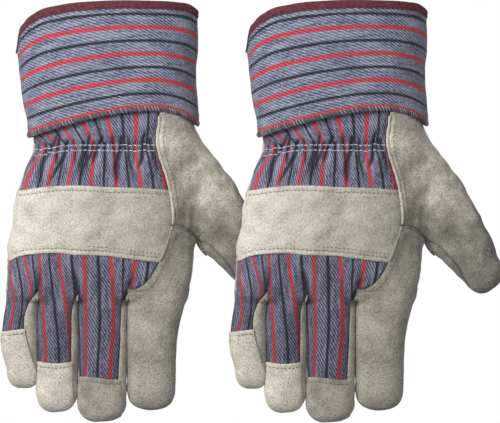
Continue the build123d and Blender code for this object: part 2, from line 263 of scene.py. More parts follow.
def palm_field(p):
    """Hand with the whole thumb, and no fingers."""
    hand = smooth_max(hand_tube(p), CROTCH_Y - WEB_DEPTH - p[:, 1], 5.0)
    return smooth_min(hand, stall_field(p, "thumb"), 5.5)


def hand_field(p):
    field = palm_field(p)
    for name in PINKY_TO_INDEX:
        field = smooth_min(field, stall_field(p, name), 2.2)
    return field


def finger_field(name):
    return lambda p: smooth_min(palm_field(p), stall_field(p, name), 2.2)


def gradient(field, p, step=0.4):
    g = np.empty_like(p)
    for axis in range(3):
        d = np.zeros(3)
        d[axis] = step
        g[:, axis] = (field(p + d) - field(p - d)) / (2 * step)
    return g


def surface_net(field, low, high, step):
    """Quad mesh of the field's zero surface, as (points, normals, quads)."""
    axes = [np.arange(low[i], high[i] + step, step) for i in range(3)]
    grid = np.stack(np.meshgrid(*axes, indexing="ij"), axis=-1)
    shape = grid.shape[:3]
    value = field(grid.reshape(-1, 3)).reshape(shape)
    cells = tuple(n - 1 for n in shape)
    total, hits = np.zeros(cells + (3,)), np.zeros(cells)
    corners = [(i, j, k) for i in (0, 1) for j in (0, 1) for k in (0, 1)]

    def corner(data, c):
        return data[c[0]:c[0] + cells[0], c[1]:c[1] + cells[1], c[2]:c[2] + cells[2]]

    for a in corners:
        for axis in range(3):
            if a[axis]:
                continue
            b = tuple(v + (i == axis) for i, v in enumerate(a))
            va, vb = corner(value, a), corner(value, b)
            cross = (va < 0) != (vb < 0)
            t = np.where(cross, va / np.where(cross, va - vb, 1), 0)[..., None]
            point = corner(grid, a) * (1 - t) + corner(grid, b) * t
            total += np.where(cross[..., None], point, 0)
            hits += cross
    used = hits > 0
    number = np.full(cells, -1)
    number[used] = np.arange(used.sum())
    points = total[used] / hits[used][:, None]
    quads = []
    for axis in range(3):
        u, v = (axis + 1) % 3, (axis + 2) % 3
        inner = [slice(1, n - 1) for n in shape]
        inner[axis] = slice(0, shape[axis] - 1)
        ahead = list(inner)
        ahead[axis] = slice(1, shape[axis])
        va, vb = value[tuple(inner)], value[tuple(ahead)]
        where = np.argwhere((va < 0) != (vb < 0))
        outward = va[tuple(where.T)] < 0
        where[:, u] += 1
        where[:, v] += 1
        ring = []
        for du, dv in ((-1, -1), (0, -1), (0, 0), (-1, 0)):
            cell = where.copy()
            cell[:, u] += du
            cell[:, v] += dv
            ring.append(number[tuple(cell.T)])
        ring = np.stack(ring, axis=1)
        ring[~outward] = ring[~outward][:, ::-1]
        quads.append(ring)
    for _ in range(3):
        g = gradient(field, points)
        points = points - g * (field(points) / np.maximum((g * g).sum(axis=1), 1e-6))[:, None]
    return points, unit(gradient(field, points)), np.concatenate(quads)


# ---- Cutting a form into sewn pieces ----
class Skin:
    """Part of a form: its points, outward normals and faces."""

    def __init__(self, points, normals, quads, odd=()):
        self.points, self.normals, self.quads, self.odd = points, normals, quads, list(odd)

    def cut(self, keep):
        """The part where keep(points) is positive, with a clean edge along its zero line."""
        s = keep(self.points)
        s = np.where(np.abs(s) < 0.02, 0.02, s)
        inside = s > 0
        count = inside[self.quads].sum(axis=1)
        quads = self.quads[count == 4]
        crossed = [tuple(q) for q in self.quads[(count > 0) & (count < 4)]] + self.odd
        made, points, normals, odd = {}, [], [], []
        for face in crossed:
            ring = []
            for a, b in zip(face, face[1:] + face[:1]):
                if inside[a]:
                    ring.append(a)
                if inside[a] != inside[b]:
                    key = (min(a, b), max(a, b))
                    if key not in made:
                        t = s[key[0]] / (s[key[0]] - s[key[1]])
                        made[key] = len(self.points) + len(points)
                        points.append(self.points[key[0]] * (1 - t) + self.points[key[1]] * t)
                        normals.append(self.normals[key[0]] * (1 - t) + self.normals[key[1]] * t)
                    ring.append(made[key])
            if len(ring) > 2:
                odd.append(tuple(ring))
        all_points = np.vstack([self.points] + ([points] if points else []))
        all_normals = unit(np.vstack([self.normals] + ([normals] if normals else [])))
        used = np.zeros(len(all_points), bool)
        used[quads.ravel()] = True
        for face in odd:
            used[list(face)] = True
        number = np.cumsum(used) - 1
        odd = [tuple(int(number[i]) for i in face) for face in odd]
        return Skin(all_points[used], all_normals[used], number[quads], odd)

    def faces(self):
        return [tuple(int(i) for i in q) for q in self.quads] + self.odd

    def moved(self, distance):
        """Points moved outwards by one distance, or by one for each point."""
        return self.points + self.normals * np.reshape(distance, (-1, 1))


class Piece:
    """A closed mesh in the glove's frame, with the flat cloth position and rest position of each point."""

    def __init__(self, points, faces, rest=None, cloth=None, fold=None):
        self.points, self.faces = np.asarray(points, float), faces
        self.fold = np.zeros(len(self.points)) if fold is None else fold
        self.rest = self.points if rest is None else rest
        self.cloth = self.rest[:, :2] if cloth is None else cloth


def joined(pieces):
    """One piece made of many."""
    shifts = np.cumsum([0] + [len(q.points) for q in pieces])
    faces = [tuple(i + int(shift) for i in f) for q, shift in zip(pieces, shifts) for f in q.faces]
    points, rest, cloth = (np.vstack([getattr(q, k) for q in pieces]) for k in ("points", "rest", "cloth"))
    return Piece(points, faces, rest, cloth, np.concatenate([q.fold for q in pieces]))


def thicken(skin, outer, inner, cloth, painted_shade=0.0):
    """Closed shell between two positions of a skin's points. The last argument is painted shade by its seams,
    stitch rows and lower walls.
    """
    faces, count = skin.faces(), len(skin.points)
    edges = {}
    for face in faces:
        for a, b in zip(face, face[1:] + face[:1]):
            edges[(a, b)] = True
    rim = [(a, b) for a, b in edges if (b, a) not in edges]
    shell = faces + [tuple(i + count for i in reversed(f)) for f in faces]
    shell += [(b, a, a + count, b + count) for a, b in rim]
    fold = np.maximum(shade_of_folds(skin.points), painted_shade)
    return Piece(np.vstack([outer, inner]), shell, np.tile(skin.points, (2, 1)), np.tile(cloth, (2, 1)),
                 np.tile(fold, 2))


# ---- Seam fields: positive on the named side, about in millimetres ----
def curve_offset(across, along, table):
    """Signed distance of a point from the curve across = f(along)."""
    f = hermite(along, table)[:, 0]
    slope = (hermite(along + 0.5, table)[:, 0] - hermite(along - 0.5, table)[:, 0])
    return (across - f) / np.sqrt(1 + slope**2)


def thumb_likeness(p):
    return smoothstep(hand_tube(p) - stall_field(p, "thumb"), -4, 6)


def side_height(p):
    """Height of the side seam: along the hand's edge, and round the thumb."""
    middle = stall_section(along_aside(p, "thumb")[0], "thumb")[3]
    w = thumb_likeness(p)
    return seam_plane(p[:, 1]) * (1 - w) + (middle + 1.2) * w


def upper(p):
    return p[:, 2] - side_height(p)


def of_saddle(p):
    side = curve_offset(p[:, 0], p[:, 1], SADDLE_SEAM)
    return np.minimum(side, curve_offset(p[:, 1], p[:, 0], THUMB_SEAM))


def of_patch(p):
    side = curve_offset(p[:, 0], p[:, 1], PATCH_SEAM)
    return np.minimum(side, -curve_offset(p[:, 1], p[:, 0], THUMB_SEAM))


def of_canvas(p):
    return -np.maximum(of_saddle(p), of_patch(p))


def of_strap(p):
    top = -curve_offset(p[:, 1], p[:, 0], STRAP_TOP)
    bottom = curve_offset(p[:, 1], p[:, 0], STRAP_BOTTOM)
    return np.minimum(top, bottom)


def of_thumb_stall(p):
    along, aside = along_aside(p, "thumb")
    return np.minimum(along, aside + 18.2)


def stall_upper(name):
    """Back of a stall: above its side seams and left of the seam that shows from above."""
    def inside(p):
        along, aside = along_aside(p, name)
        shift, wide, high, middle = stall_section(along, name)
        above = p[:, 2] - (middle + 0.22 * high)
        if name in BACK_SEAMS:
            left = smoothstep(shift - aside, 0.2, 0.9 * BACK_LEFT[name]) * smoothstep(along, -2, 16)
            above = p[:, 2] - (middle + (0.22 - 0.75 * left) * high)
            return np.minimum(above, curve_offset(-aside, along, BACK_SEAMS[name] * (1, -1)))
        if name == "thumb":
            return np.minimum(above, aside - (shift - wide + 1.0 + 4.6 * smoothstep(along, 0, 12)
                                              * (1 - smoothstep(along, 24, 46))))
        return np.minimum(above, aside - (shift - wide + 1.2))
    return inside


# ---- Relief: how far the cloth stands off the form ----
def cloth_x(p):
    """Position across the striped cloth, in which red stripes are one pitch apart."""
    stripes = hermite(p[:, 1], STRIPE_ROWS)
    x = p[:, 0]
    u = (x - stripes[:, 0]) / np.maximum(stripes[:, 1] - stripes[:, 0], 4) * STRIPE_PITCH
    for k in range(1, stripes.shape[1]):
        left = stripes[:, k]
        right = stripes[:, k + 1] if k + 1 < stripes.shape[1] else left + STRIPE_PITCH
        u = np.where(x > left, (k + (x - left) / (right - left)) * STRIPE_PITCH, u)
    return u


def make_creases():
    """Random creases across the wrist: place, slant, reach up, reach down, depth and width."""
    r = np.random.default_rng(5)
    rows, x = [], -45.0
    while x < 40:
        x += r.uniform(2.6, 6.2)
        rows.append((x, r.uniform(-0.22, 0.22), r.uniform(5, 15), r.uniform(9, 34), r.uniform(1.2, 2.8),
                     r.uniform(0.7, 1.2)))
    return rows


CREASES = make_creases()


def wrist_creases(p):
    """Depth of the creases that run out from the elastic rows."""
    y, depth = p[:, 1] - ELASTIC_Y, np.zeros(len(p))
    spread = 0.35 * (1 - smoothstep(p[:, 0], -50, 30))
    for place, slant, up, down, deep, wide in CREASES:
        off = p[:, 0] - place - (slant + spread) * y - 0.7 * np.sin(y / 4.0 + place)
        run = np.where(y > 0, 1 - smoothstep(y, 0.35 * up, up), 1 - smoothstep(-y, 0.25 * down, down))
        depth = np.maximum(depth, deep * run * np.exp(-np.abs(off) / (wide * (1 + 0.03 * np.abs(y)))))
    return depth * smoothstep(of_canvas(p), 0, 4) * smoothstep(upper(p), -2, 4)


def gathers(p):
    """Puckers that run out from the two elastic rows at the wrist."""
    y = p[:, 1] - ELASTIC_Y
    puff = 1.1 * bell(y - 9, 6.0) + 1.5 * bell(y + 10, 7.5)
    rows = bell(y - 1.8, 1.2) + bell(y + 1.8, 1.2)
    puckers = puff - 0.7 * rows - 0.5 * bell(y, 4.0)
    return smoothstep(of_canvas(p), 0, 6) * puckers - wrist_creases(p)


def crotch_folds(p):
    """Depth of the folds that run up and down the back from the finger crotches."""
    fold, y = np.zeros(len(p)), p[:, 1] - CROTCH_Y
    for x, lean, deep, up in CROTCH_FOLDS:
        off = np.abs(p[:, 0] - x + lean * y)
        width = 1.7 + 0.06 * np.abs(y)
        run = np.where(p[:, 1] > CROTCH_Y, 1 - smoothstep(y, 0.2 * up, up), smoothstep(p[:, 1], -70, -50))
        fold = np.maximum(fold, deep * run * np.exp(-off / width))
    return fold * smoothstep(upper(p), -2, 4)


def shade_of_folds(p):
    """Painted shade at a point: 0 in the open, 1 in the bottom of a fold, more by the seams and side seams.
    """
    # Painted shade in the wrist creases and the crotch folds
    canvas = wrist_creases(p) / 1.7 + crotch_folds(p) / 2.4
    # Painted shade along the saddle and patch seams
    seams = 0.55 * bell(of_saddle(p), 1.6) + 0.5 * bell(of_patch(p), 1.6)
    # Painted shade along the fingers' side seams, where their sides turn under
    side = 0.35 * bell(upper(p), 2.2) * (p[:, 1] > CROTCH_Y)
    return np.clip(canvas + smoothstep(upper(p), -2, 4) * seams + side, 0, 1)


def soft_folds(p):
    """Broad, shallow unevenness of a used leather glove."""
    return 0.55 * waves(p, 34, 14, 3) + 0.28 * waves(p, 14, 16, 4) + 0.08 * waves(p, 6, 18, 5)


def valley(s, deep, wide):
    """Dip towards a seam where s is the distance from it."""
    return -deep * bell(s, wide)


def relief(p):
    """Relief that all pieces of the form share, so that they still meet at their seams."""
    above = smoothstep(upper(p), -2, 4)
    lift = soft_folds(p) * (1 - 0.5 * smoothstep(-p[:, 1], 50, 60))
    lift += above * gathers(p) * smoothstep(p[:, 1], 4, 22) - crotch_folds(p)
    return lift + above * valley(of_saddle(p), 0.9, 1.8)


def lay(points, floor=FLOOR_CLEARANCE):
    """Keeps points above the floor, and flattens what would sink into it."""
    z = points[:, 2]
    points[:, 2] = smooth_max(z, np.full(len(z), floor), 1.2)
    return points


def sewn(skin, edge, thickness=PLY, layer=0.0, round_edge=1.0, dip=0.0, cloth=None, extra=None, shade=0.0,
         side=None, row=None):
    """A sewn piece: the skin with relief, raised to its layer, with rounded edges and a dip by its seams."""
    p = skin.points
    s = np.maximum(edge(p), 0)
    lift = relief(p) + layer + valley(s, dip, 1.9)
    if extra is not None:
        lift += extra(p)
    bevel = np.clip(1 - s / round_edge, 0, 1)
    drop = 0.5 * thickness * (1 - np.sqrt(np.maximum(1 - bevel**2, 0)))
    outer = lay(skin.moved(lift - drop))
    inner = lay(skin.moved(lift + drop - thickness), FLOOR_CLEARANCE + 0.6 * thickness)
    # Painted shade by the piece's edge
    painted_shade = shade * bell(s, 1.5)
    # Painted shade along the stitch row
    if row is not None:
        painted_shade = np.maximum(painted_shade, 0.5 * bell(s - row, 0.75))
    # Painted shade on the lower walls of the stall, where its sides turn under
    if side is not None:
        _, _, high, middle = stall_section(along_aside(p, side)[0], side)
        wall = 1 - smoothstep(-skin.normals[:, 2], 0.3, 0.95)
        painted_shade = np.maximum(painted_shade, 0.75 * smoothstep((middle - p[:, 2]) / high, -0.45, 0.5) * wall)
    return thicken(skin, outer, inner, p[:, :2] if cloth is None else cloth(p), painted_shade)


def stripe_cloth(p, middle=-30.0):
    """Cloth position, unrolled down the side that lies left of the middle."""
    drop = np.where(p[:, 1] < CROTCH_Y, 14.0, seam_plane(p[:, 1]) + 7.0) - p[:, 2]
    flat = p.copy()
    flat[:, 0] -= np.maximum(drop, 0) * smoothstep(middle - p[:, 0], 2, 9)
    return np.stack([cloth_x(flat), p[:, 1]], axis=1)


# ---- Small parts: threads, welts and strokes, as swept tubes ----
def sweep(path, radius, sides, up, squash=1.0, taper=0.35):
    """Closed tube along a path, with tapered ends. squash flattens it along up."""
    n = len(path)
    tangent = unit(np.gradient(path, axis=0))
    side = unit(np.cross(tangent, up))
    up = unit(np.cross(side, tangent))
    size = np.full(n, 1.0) * radius
    size[0] *= taper
    size[-1] *= taper
    angle = np.arange(sides) * 2 * math.pi / sides
    ring = np.cos(angle)[None, :, None] * side[:, None, :]
    ring = ring + np.sin(angle)[None, :, None] * up[:, None, :] * squash
    points = (path[:, None, :] + ring * size[:, None, None]).reshape(-1, 3)
    faces = [tuple(reversed(range(sides))), tuple((n - 1) * sides + j for j in range(sides))]
    for i in range(n - 1):
        for j in range(sides):
            k = (j + 1) % sides
            faces.append((i * sides + j, i * sides + k, (i + 1) * sides + k, (i + 1) * sides + j))
    along = np.concatenate([[0], np.cumsum(np.linalg.norm(np.diff(path, axis=0), axis=1))])
    cloth = np.stack([np.repeat(along, sides), np.tile(angle / (2 * math.pi), n)], axis=1)
    return Piece(points, faces, cloth=cloth)


def resample(path, spacing):
    """Points along a path at even spacing."""
    path = np.asarray(path, float)
    run = np.concatenate([[0], np.cumsum(np.linalg.norm(np.diff(path, axis=0), axis=1))])
    at = np.linspace(0, run[-1], max(int(round(run[-1] / spacing)), 1) + 1)
    return np.stack([np.interp(at, run, path[:, i]) for i in range(path.shape[1])], axis=1)


class Top:
    """Finds the height and slope of a piece under a point seen from above."""

    def __init__(self, *pieces):
        whole = joined(pieces)
        self.tree = BVHTree.FromPolygons([Vector(v) for v in whole.points], whole.faces)

    def at(self, x, y):
        hit, normal, _, _ = self.tree.ray_cast(Vector((x, y, 90.0)), Vector((0, 0, -1)))
        return (None, None) if hit is None else (np.array(hit), np.array(normal))


def seated(top, xy, lift):
    """Path on the top surface that follows points seen from above, lifted off it."""
    points, ups = [], []
    for x, y in xy:
        hit, normal = top.at(x, y)
        if hit is not None:
            points.append(hit + normal * lift)
            ups.append(normal)
    return np.array(points), np.array(ups)


def stitches(top, xy, pitch, length, radius, lift=-0.05, jitter=0.12):
    """A row of separate thread stitches along a curve seen from above."""
    row = resample(xy, pitch)
    made = []
    for a, b in zip(row, row[1:]):
        mid, half = (a + b) / 2 + rng.normal(0, jitter, 2), (b - a) / pitch * length / 2
        ends = [mid - half, mid - half * 0.4, mid + half * 0.4, mid + half]
        points, ups = seated(top, ends, 0)
        if len(points) < 4:
            continue
        height = np.array([-0.35, 1, 1, -0.35])[:, None] * radius * 0.55 + lift
        made.append(sweep(points + ups * height, radius, 6, ups, taper=0.7))
    return joined(made)


def along_curve(table, low, high, offset=0.0, swap=False, count=60):
    """Points of a seam curve seen from above, moved sideways by offset."""
    t = np.linspace(low, high, count)
    f = hermite(t, table)[:, 0]
    tangent = unit(np.stack([np.gradient(t), np.gradient(f)], axis=1))
    normal = np.stack([-tangent[:, 1], tangent[:, 0]], axis=1)
    curve = np.stack([t, f], axis=1) + normal * offset
    return curve[:, ::-1] if swap else curve


# ---- The hand and the stalls ----
def below(test):
    return lambda p: -test(p)


def beyond_crotch(p):
    return CROTCH_Y - p[:, 1]


def wrist_end(p):
    return WRIST_END - p[:, 1]


def make_forms():
    """The surface of the hand and of each stall, cut at the crotch plane and the thumb's root."""
    forms = {"hand": Skin(*surface_net(hand_field, (-66, -59, -3), (100, 71, 54), 0.85))}
    forms["hand"] = forms["hand"].cut(wrist_end).cut(below(beyond_crotch)).cut(below(of_thumb_stall))
    for order, name in enumerate(PINKY_TO_INDEX):
        x, rows = STALLS[name]["root"][0], STALLS[name]["rows"]
        tip = CROTCH_Y - rows[-1][0] - STALLS[name]["reach"] - 4
        wide = max(r[2] for r in rows) + 8
        skin = Skin(*surface_net(finger_field(name), (x - wide, tip, -3), (x + wide, -47, 28), 0.9))
        low = WEBS[order - 1] if order else -99.0
        high = WEBS[order] if order < 3 else 99.0
        between = lambda p: np.minimum(p[:, 0] - low, high - p[:, 0])
        own = lambda p: np.maximum(between(p), CROTCH_Y - WEB_DEPTH - 0.5 - p[:, 1])
        forms[name] = skin.cut(beyond_crotch).cut(own)
    forms["thumb"] = Skin(*surface_net(palm_field, (48, -62, -3), (120, 14, 32), 0.9)).cut(of_thumb_stall)
    return forms


def make_hand(hand):
    """Pieces of the hand, and the tops that stitches are seated on."""
    made = {}
    canvas = hand.cut(upper).cut(of_canvas)
    made["back_panel"] = sewn(canvas, upper, dip=0.9, layer=-0.5, cloth=stripe_cloth)
    strap = canvas.cut(of_strap)

    def strap_relief(p):
        s = of_strap(p)
        return valley(s - STRAP_ROW, 0.45, 1.1) + 0.25 * waves(p, 22, 9, 21)

    made["knuckle_strap"] = sewn(strap, of_strap, layer=0.95, round_edge=1.1, extra=strap_relief,
                                 row=STRAP_ROW)

    def overlay(skin, edge, row):
        """Leather that laps over the canvas, so its edge stands up."""
        edge_lift = lambda p: 1.15 * bell(np.maximum(edge(p), 0), 5.0)
        return sewn(skin, edge, layer=0.35, extra=edge_lift, round_edge=1.2, row=row)

    saddle = hand.cut(upper).cut(of_saddle)
    made["thumb_saddle"] = overlay(saddle, of_saddle, SADDLE_ROW)
    patch = hand.cut(upper).cut(of_patch)
    made["index_patch"] = overlay(patch, of_patch, PATCH_ROW)
    palm = hand.cut(below(upper))
    made["palm"] = sewn(palm, below(upper), dip=0.8)
    lining = lay(palm.moved(-2.1), 2.4), lay(palm.moved(-2.8), 3.1)
    made["palm_lining"] = thicken(palm, *lining, palm.points[:, :2])
    elastic = canvas.cut(lambda p: ELASTIC_HALF - np.abs(p[:, 1] - ELASTIC_Y))
    ribs = relief(elastic.points) - 0.5 - PLY - 0.25
    band = elastic.moved(ribs), elastic.moved(ribs - 0.8)
    made["wrist_elastic"] = thicken(elastic, *band, elastic.points[:, :2])
    return made


def cap_sway(x):
    """How a cap's edge wanders across its finger."""
    return 0.9 * np.sin(x / 6.0)


def make_stalls(forms):
    """Front and back of each stall, and the leather caps of the three canvas fingers."""
    made = {}
    for name in STALLS:
        skin, back = forms[name], stall_upper(name)
        front = skin.cut(below(back))
        # Painted shade by the seams of each stall, strongest on the thumb, and on the lower walls of its
        # front
        shade = 0.9 if name == "thumb" else 0.5
        made[f"{name}_front"] = sewn(front, below(back), dip=0.4, shade=shade, side=name)
        top = skin.cut(back)
        if name not in CAP_START:
            made[f"{name}_back"] = sewn(top, back, dip=0.5, layer=0.35, shade=0.5)
            continue
        cap_edge = lambda p: along_aside(p, name)[0] - CAP_START[name] - cap_sway(p[:, 0])
        under_cap = top.cut(lambda p: CAP_ROW - cap_edge(p))
        made[f"{name}_back"] = sewn(under_cap, back, dip=0.5, layer=-0.4, shade=0.45,
                                    cloth=lambda p: stripe_cloth(p, STALLS[name]["root"][0]))
        made[f"{name}_cap"] = sewn(top.cut(cap_edge), cap_edge, layer=0.75, round_edge=1.1, row=CAP_ROW,
                                   extra=lambda p: valley(cap_edge(p) - CAP_ROW, 0.35, 1.0))
    return made


# ---- The cuff ----
def cuff_section(y, angle, depth):
    """Point of the cuff's section at a depth below its outer face."""
    middle, wide, high = hermite(y, CUFF).T
    side = 0.84 * wide
    c, s = np.cos(angle), np.sin(angle)
    q = np.sign(c) * np.abs(c) ** 1.05
    flat = (wide - side) * np.tanh(2.2 * c) / math.tanh(2.2)
    x = middle + flat + q * (side - depth)
    z = CUFF_MIDDLE_Z + s * (high - depth)
    return x, z


def cuff_point(angle, share, depth):
    """Point of the cuff: share 0 is its hem line and 1 its free edge."""
    y = np.full(len(angle), 90.0)
    for _ in range(3):
        x, _z = cuff_section(y, angle, depth)
        bottom, top, under = (hermite(x, table)[:, 0] for table in (CUFF_BOTTOM, CUFF_TOP, CUFF_UNDER))
        top += (under - top) * smoothstep(-np.sin(angle), -0.15, 0.85)
        y = bottom + (top - bottom) * share
    x, z = cuff_section(y, angle, depth)
    return np.stack([x, y, z], axis=1)


def cuff_wave(angle, share):
    """Slight dents of a stiff cuff."""
    p = np.stack([np.cos(angle) * 55, share * 72, np.sin(angle) * 28], axis=1)
    return 0.36 * waves(p, 42, 10, 8) + 0.12 * waves(p, 15, 10, 9)


def cuff_tube(profile, steps=260):
    """Closed ring whose profile is a loop of (share, depth) pairs."""
    angle = np.linspace(0, 2 * math.pi, steps, endpoint=False)
    points, rest, cloth = [], [], []
    for share, depth in profile:
        share, depth = np.full(steps, share), np.full(steps, depth)
        p = cuff_point(angle, share, depth - cuff_wave(angle, share))
        points.append(p)
        rest.append(cuff_point(angle, share, np.zeros(steps)))
        cloth.append(np.stack([(1 - share) * CUFF_CLOTH, angle * CUFF_RADIUS], axis=1))
    n = len(profile)
    faces = []
    for i in range(n):
        k = (i + 1) % n
        for j in range(steps):
            m = (j + 1) % steps
            faces.append((i * steps + j, i * steps + m, k * steps + m, k * steps + j))
    return Piece(np.vstack(points), faces, np.vstack(rest), np.vstack(cloth))


def make_cuff():
    made = {}
    low, high = HEM / CUFF_CLOTH, 1 - BINDING / CUFF_CLOTH
    rows = np.linspace(low - 0.01, high + 0.03, 54)
    outer = [(s, CANVAS_FACE) for s in rows]
    made["safety_cuff"] = cuff_tube([(s, 2.0) for s in rows[::-1]] + outer)
    plain = np.linspace(low - 0.01, high + 0.03, 26)
    made["cuff_lining"] = cuff_tube([(s, 2.9) for s in plain[::-1]] + [(s, 2.1) for s in plain])
    fold = [(1 - back / CUFF_CLOTH, depth) for back, depth in BINDING_FOLD]
    made["cuff_binding"] = cuff_tube(fold[::-1], steps=300)
    roll = [(0.5 * HEM * (1 - math.cos(t)) / CUFF_CLOTH, HEM_DEPTH - 1.25 * math.sin(t))
            for t in np.linspace(0, 2 * math.pi, 17)[:-1]]
    made["cuff_hem"] = cuff_tube(roll, steps=300)
    return made


def hem_strokes():
    """Slanting overcast threads that wrap the rolled lower edge, in two colours."""
    sets = ([], [])
    count = 150
    for i in range(count):
        start = 2 * math.pi * (i + rng.uniform(-0.15, 0.15)) / count
        t = np.linspace(-0.35, math.pi + 0.35, 9)
        angle = start + 0.045 * (t / math.pi)
        share = 0.5 * HEM * (1 - np.cos(t)) / CUFF_CLOTH
        depth = HEM_DEPTH - 1.45 * np.sin(t)
        path = cuff_point(angle, share, depth - cuff_wave(angle, share))
        centre = cuff_point(angle, share, np.full(9, 6.0))
        colour = 0 if rng.random() < 0.55 else 1
        sets[colour].append(sweep(path, 0.4, 6, unit(path - centre), squash=0.55))
    return [joined(made) for made in sets]


def cuff_row(share, length, gap, radius, depth):
    """Row of stitches round the cuff at one share of its depth."""
    made, a = [], 0.0
    while a < 2 * math.pi:
        b = a + length / CUFF_RADIUS
        angle = np.linspace(a, b, 4)
        s = np.full(4, share)
        path = cuff_point(angle, s, depth - cuff_wave(angle, s))
        centre = cuff_point(angle, s, np.full(4, depth + 6.0))
        made.append(sweep(path, radius, 5, unit(path - centre), taper=0.5))
        a = b + gap / CUFF_RADIUS
    return joined(made)


# ---- Materials ----
class Nodes:
    """Short forms for building a node tree. Inputs are numbers, linear values or other nodes' outputs."""

    def __init__(self, name, shader):
        self.material = bpy.data.materials.new(name)
        self.material.use_nodes = True
        self.tree = self.material.node_tree
        self.shader = self.tree.nodes["Principled BSDF"]
        self.feed(self.shader, {"Specular IOR Level": 0.25, **shader})

    def feed(self, node, inputs):
        for key, value in inputs.items():
            if isinstance(value, bpy.types.NodeSocket):
                self.tree.links.new(value, node.inputs[key])
            else:
                node.inputs[key].default_value = value

    def node(self, kind, inputs=None, **settings):
        n = self.tree.nodes.new("ShaderNode" + kind)
        for key, value in settings.items():
            setattr(n, key, value)
        self.feed(n, inputs or {})
        return n

    def math(self, operation, *values):
        return self.node("Math", dict(enumerate((*values, 0.0, 0.0)[:3])), operation=operation).outputs[0]

    def times(self, a, b):
        return self.math("MULTIPLY", a, b)

    def plus(self, a, b):
        return self.math("ADD", a, b)

    def minus(self, a, b):
        return self.math("SUBTRACT", a, b)

    def smooth(self, value, low, high):
        """Smooth rise from 0 at low to 1 at high."""
        inputs = {"Value": value, "From Min": low, "From Max": high}
        return self.node("MapRange", inputs, interpolation_type="SMOOTHSTEP").outputs[0]

    def rest(self, stretch=(1, 1, 1)):
        """Rest position in millimetres, so that patterns stay put on the cloth."""
        place = self.node("Attribute", attribute_name="rest").outputs["Vector"]
        return self.node("Mapping", {"Vector": place, "Scale": stretch}).outputs["Vector"]

    def fold(self, low=0.15, high=1.0):
        """Painted shade in the folds, by the seams and on the stalls' lower walls, 0 to 1."""
        return self.smooth(self.node("Attribute", attribute_name="fold").outputs["Fac"], low, high)

    def cloth(self):
        """Place on the flat cloth, in millimetres: across the stripes, along them, and both."""
        uv = self.node("UVMap", uv_map="cloth").outputs["UV"]
        split = self.node("SeparateXYZ", {0: uv})
        return split.outputs[0], split.outputs[1], uv

    def noise(self, vector, scale, detail=2.0, rough=0.5):
        inputs = {"Vector": vector, "Scale": scale, "Detail": detail, "Roughness": rough}
        return self.node("TexNoise", inputs).outputs["Fac"]

    def faded(self, noise, axis, stops):
        """Grey that changes along the glove (axis 1) or across it (axis 0), with an uneven front."""
        split = self.node("SeparateXYZ", {0: self.rest()})
        place = self.math("MULTIPLY_ADD", self.minus(noise, 0.5), 60.0, split.outputs[axis])
        place = self.math("DIVIDE", self.plus(place, 140.0), 280.0)
        return self.ramp(place, *[((at + 140) / 280, (c, c, c)) for at, c in stops])

    def ramp(self, value, *stops):
        n = self.node("ValToRGB", {0: value})
        while len(n.color_ramp.elements) < len(stops):
            n.color_ramp.elements.new(0.5)
        for element, (at, color) in zip(n.color_ramp.elements, stops):
            element.position = at
            element.color = srgb(color)
        return n.outputs["Color"]

    def mix(self, factor, a, b, blend="MIX"):
        a, b = (srgb(v) if isinstance(v, tuple) else v for v in (a, b))
        return self.node("Mix", {0: factor, 6: a, 7: b}, data_type="RGBA", blend_type=blend).outputs[2]

    def finish(self, color, height, strength, distance):
        bump = self.node("Bump", {"Height": height, "Strength": strength, "Distance": distance})
        self.feed(self.shader, {"Base Color": color, "Normal": bump.outputs[0]})
        return self.material


def srgb(color):
    """Linear RGBA from 0-255 screen values."""
    linear = [((v / 255 + 0.055) / 1.055) ** 2.4 if v > 10 else v / 255 / 12.92 for v in color]
    return (*linear, 1.0)


def leather(name, light, mid, dark, speckle=0.8, fade=None, axis=1):
    """Split leather: mottled, with a short nap that shows as fine speckle. fade is painted shade along one
    axis.
    """
    n = Nodes(name, {"Roughness": 0.95, "Sheen Weight": 0.12, "Sheen Roughness": 0.6})
    rest = n.rest()
    broad = n.noise(rest, 0.05, 3.0, 0.6)
    base = n.ramp(broad, (0.34, dark), (0.5, mid), (0.64, light))
    # Painted shade: darker along one axis of the glove
    if fade is not None:
        base = n.mix(1.0, base, n.faded(broad, axis, fade), "MULTIPLY")
    blotch = n.noise(rest, 0.3, 3.0, 0.65)
    base = n.mix(n.times(n.minus(blotch, 0.45), 0.8), base, dark)
    nap = n.noise(rest, 1.15, 3.0, 0.75)
    hair = n.noise(n.rest((2.6, 0.9, 1.6)), 0.9, 2.0, 0.6)
    specks = n.ramp(n.math("MULTIPLY_ADD", hair, 0.4, n.times(nap, 0.6)), (0.37, (112, 107, 97)),
                    (0.47, (212, 209, 202)), (0.57, (255, 255, 255)))
    color = n.mix(speckle, base, specks, "MULTIPLY")
    # Painted shade in the folds, by the seams and on the lower walls
    color = n.mix(n.times(n.fold(), 0.5), color, (46, 42, 34))
    height = n.plus(n.times(nap, 1.1), n.times(hair, 0.6))
    return n.finish(color, height, 0.7, 0.0005)


